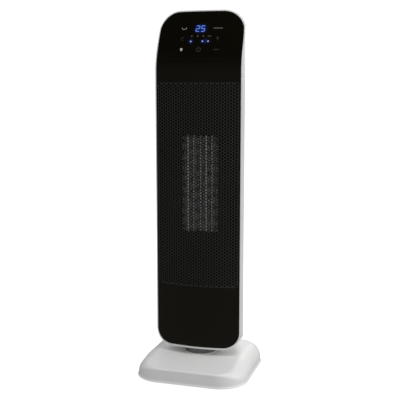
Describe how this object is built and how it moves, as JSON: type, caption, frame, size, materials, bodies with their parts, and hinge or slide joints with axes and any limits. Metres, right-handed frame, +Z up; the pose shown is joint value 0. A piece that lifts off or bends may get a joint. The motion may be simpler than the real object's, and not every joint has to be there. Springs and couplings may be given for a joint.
{
  "type": "ceramic space heater",
  "caption": "Slim oscillating ceramic tower heater: bowed black mesh front with a leaned touch display, white rounded shell and a low swivel base.",
  "frame": {"origin": "on the floor, at the middle of the base and on the swivel axis", "axes": "+Z up; the air outlet and touch display face -Y; +X is the heater's left side as it faces a person"},
  "size_m": [0.195, 0.195, 0.622],
  "materials": {
    "white_shell": "satin white ABS",
    "grey_inner": "natural grey ABS",
    "black_gloss": "polished black ABS",
    "black_matte": "matt black heat-proof plastic",
    "mesh": "black powder coat",
    "rubber": "soft grey-black rubber",
    "screw_steel": "zinc-plated steel",
    "motor_can": "drawn steel can",
    "acetal": "natural acetal",
    "switch_blue": "blue phenolic",
    "fin_aluminium": "bare corrugated foil",
    "strip_metal": "bright aluminium sleeves round the ceramic stones",
    "contact_brass": "tinned brass tabs",
    "cutout_black": "phenolic",
    "fuse_metal": "plain metal case",
    "fan_grey": "glass-filled plastic",
    "board_green": "solder-masked laminate",
    "relay_blue": "sealed relay cases",
    "capacitor": "sleeved aluminium cans",
    "transformer": "taped winding",
    "sink_aluminium": "extruded",
    "display_black": "tinted display block",
    "digit_light": "lit blue-white",
    "chip_black": "moulded",
    "filter_felt": "black dust mesh"
  },
  "bodies": {
    "base": {"base_cover": "white_shell", "base_plate": "grey_inner", "rubber_feet": "rubber", "base_screws": "screw_steel", "swivel_washer": "acetal", "cord_inlet": "black_matte", "swing_motor": "motor_can", "motor_screws": "screw_steel", "terminal_block": "black_matte", "tip_spring": "screw_steel", "tip_switch": "switch_blue"},
    "tower": {"pivot_spindle": "acetal", "neck_collar": "white_shell", "spindle_screws": "screw_steel", "swing_sector": "acetal", "rear_shell": "white_shell", "front_panel": "black_gloss", "touch_panel": "black_gloss", "front_frame": "black_matte", "outlet_grille": "mesh", "air_baffle": "black_matte", "baffle_screws": "screw_steel", "heater_frame": "black_matte", "heater_terminals": "contact_brass", "ceramic_strips": "strip_metal", "heater_fins": "fin_aluminium", "thermal_cutout": "cutout_black", "thermal_fuse": "fuse_metal", "fan_housing": "black_matte", "upper_bearing": "acetal", "fan_motor": "motor_can", "motor_bridge": "black_matte", "power_board": "board_green", "board_screws": "screw_steel", "relays": "relay_blue", "capacitors": "capacitor", "transformer": "transformer", "heat_sink": "sink_aluminium", "display_board": "board_green", "digit_module": "display_black", "digit_segments": "digit_light", "touch_springs": "screw_steel", "control_chip": "chip_black", "beeper": "chip_black", "remote_eye": "chip_black", "handle_cup": "grey_inner", "switch_body": "black_matte", "case_screws": "screw_steel"},
    "swing_drive": {"swing_pinion": "acetal", "motor_shaft": "screw_steel"},
    "fan": {"fan_impeller": "fan_grey", "fan_shaft_rod": "screw_steel"},
    "rocker": {"power_rocker": "black_matte"},
    "tip_pin": {"tip_button": "acetal"},
    "filter_cover": {"intake_cover": "white_shell", "dust_filter": "filter_felt"}
  },
  "joints": [
    {"name": "swing", "type": "hinge", "parent": "base", "child": "tower", "pos_m": [0, 0, 0.0325], "axis": [0, 0, 1], "range_deg": [-35, 35]},
    {"name": "swing_motor_turn", "type": "hinge", "parent": "base", "child": "swing_drive", "pos_m": [0, 0.05, 0.023], "axis": [0, 0, 1], "range_deg": [-105, 105]},
    {"name": "fan_spin", "type": "hinge", "parent": "tower", "child": "fan", "pos_m": [0, 0.031, 0.33], "axis": [0, 0, 1], "continuous": true},
    {"name": "power_switch", "type": "hinge", "parent": "tower", "child": "rocker", "pos_m": [0, 0.0564, 0.1], "axis": [1, 0, 0], "range_deg": [-16, 0]},
    {"name": "tip_over", "type": "slide", "parent": "base", "child": "tip_pin", "axis": [0, 0, 1], "range_m": [-0.004, 0], "stiffness_N_per_m": 100, "springref_m": -0.006},
    {"name": "filter_pull", "type": "slide", "parent": "tower", "child": "filter_cover", "axis": [0, 1, 0], "range_m": [0, 0.06]}
  ],
  "couplings": [
    {"joint": "swing_motor_turn", "follows": "swing", "ratio": -3}
  ]
}
